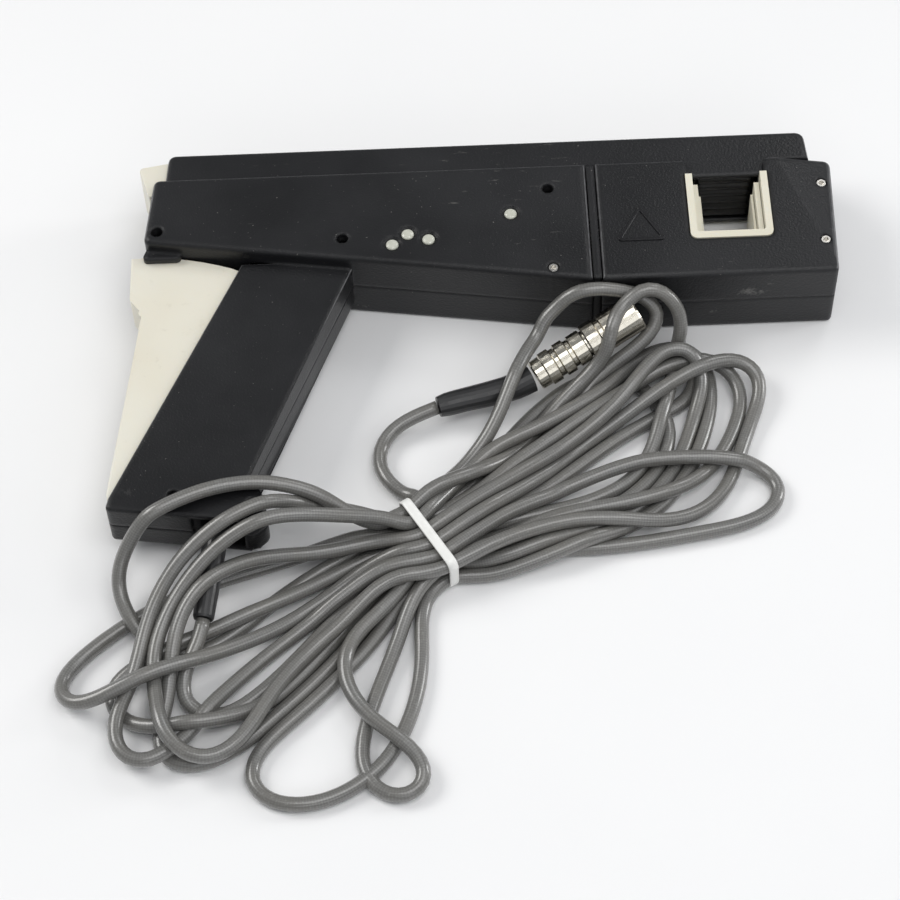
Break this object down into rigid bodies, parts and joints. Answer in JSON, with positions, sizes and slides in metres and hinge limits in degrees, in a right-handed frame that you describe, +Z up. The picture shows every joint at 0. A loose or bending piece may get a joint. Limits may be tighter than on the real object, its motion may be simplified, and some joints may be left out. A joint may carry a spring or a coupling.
{
  "type": "price labeling gun",
  "caption": "Corded pistol-grip labelling gun lying on its side, with a palm lever, a lined through slot at the nose, status lamps and a tied cord that ends in a round plug",
  "frame": {"origin": "bottom centre of the gun's own box (its cord, strain relief and plug left out), on the surface that it lies on", "axes": "+X along the barrel towards the nose, +Y towards the top rail, +Z up from the surface through the gun's thickness"},
  "size_m": [0.3314, 0.296, 0.0384],
  "materials": {
    "black_plastic": "fine moulded texture, satin, edges polished by use",
    "cream_plastic": "smooth satin cream moulding",
    "steel": "bright plated steel",
    "dark_steel": "blackened",
    "chrome": "polished",
    "lens": "milky translucent",
    "board": "laminate with solder resist",
    "rubber": "satin black",
    "cord_jacket": "grey translucent jacket over a braid",
    "tie_plastic": "white nylon strap",
    "inner_plastic": "plain engineering plastic"
  },
  "bodies": {
    "housing": {"near_rear_shell": "black_plastic", "far_rear_shell": "black_plastic", "near_nozzle_cover": "black_plastic", "far_nozzle_cover": "black_plastic", "top_rail": "black_plastic", "slot_liner_outer": "cream_plastic", "slot_liner_inner": "cream_plastic", "tag_guide": "cream_plastic", "screw_nose_upper": "steel", "screw_nose_lower": "steel", "screw_barrel_front": "steel", "lever_pin": "steel", "cable_clamp": "steel", "screw_barrel_top": "dark_steel", "screw_barrel_mid": "dark_steel", "screw_barrel_rear": "dark_steel", "screw_handle_toe": "dark_steel", "screw_handle_rear": "dark_steel", "plug_shell": "chrome", "status_lamp_1": "lens", "status_lamp_2": "lens", "status_lamp_3": "lens", "status_lamp_4": "lens", "circuit_board": "board", "seam_band": "rubber", "strain_relief_boot": "rubber", "plug_boot": "rubber", "plug_insert": "rubber", "microswitch_body": "rubber", "cord_lead": "cord_jacket", "cord_hank": "cord_jacket", "cord_tail": "cord_jacket", "inner_lead": "cord_jacket", "hank_tie": "tie_plastic", "rod_guide_rear": "inner_plastic", "rod_guide_front": "inner_plastic", "terminal_block": "inner_plastic"},
    "squeeze_lever_body": {"squeeze_lever": "cream_plastic", "lever_spring": "steel"},
    "push_rod_body": {"push_rod": "steel"},
    "press_head_body": {"press_carriage": "dark_steel", "heater_plate": "dark_steel", "cam_pin": "dark_steel"},
    "switch_plunger_body": {"microswitch_plunger": "inner_plastic"},
    "release_tab_body": {"release_tab": "cream_plastic"},
    "plug_ring_body": {"plug_ring": "chrome"}
  },
  "joints": [
    {"name": "lever_squeeze", "type": "hinge", "parent": "housing", "child": "squeeze_lever_body", "pos_m": [-0.14727, -0.07784, 0.019], "axis": [0, 0, -1], "range_deg": [0, 8], "stiffness_Nm_per_rad": 1.5, "springref_deg": -8.59},
    {"name": "rod_slide", "type": "slide", "parent": "housing", "child": "push_rod_body", "axis": [1, 0, 0], "range_m": [0, 0.0195]},
    {"name": "head_press", "type": "slide", "parent": "housing", "child": "press_head_body", "axis": [0, -1, 0], "range_m": [0, 0.0062]},
    {"name": "plunger_press", "type": "slide", "parent": "housing", "child": "switch_plunger_body", "axis": [0, -1, 0], "range_m": [0, 0.0011]},
    {"name": "tab_push", "type": "slide", "parent": "housing", "child": "release_tab_body", "axis": [1, 0, 0], "range_m": [0, 0.004], "stiffness_N_per_m": 400, "springref_m": -0.002},
    {"name": "plug_ring_turn", "type": "hinge", "parent": "housing", "child": "plug_ring_body", "pos_m": [0.02123, -0.01494, 0.0106], "axis": [0.8645, 0.4131, 0.2863], "continuous": true}
  ],
  "couplings": [
    {"joint": "rod_slide", "follows": "lever_squeeze", "m_per_rad": 0.1366},
    {"joint": "head_press", "follows": "lever_squeeze", "m_per_rad": 0.042911},
    {"joint": "plunger_press", "follows": "lever_squeeze", "m_per_rad": 0.00712}
  ]
}
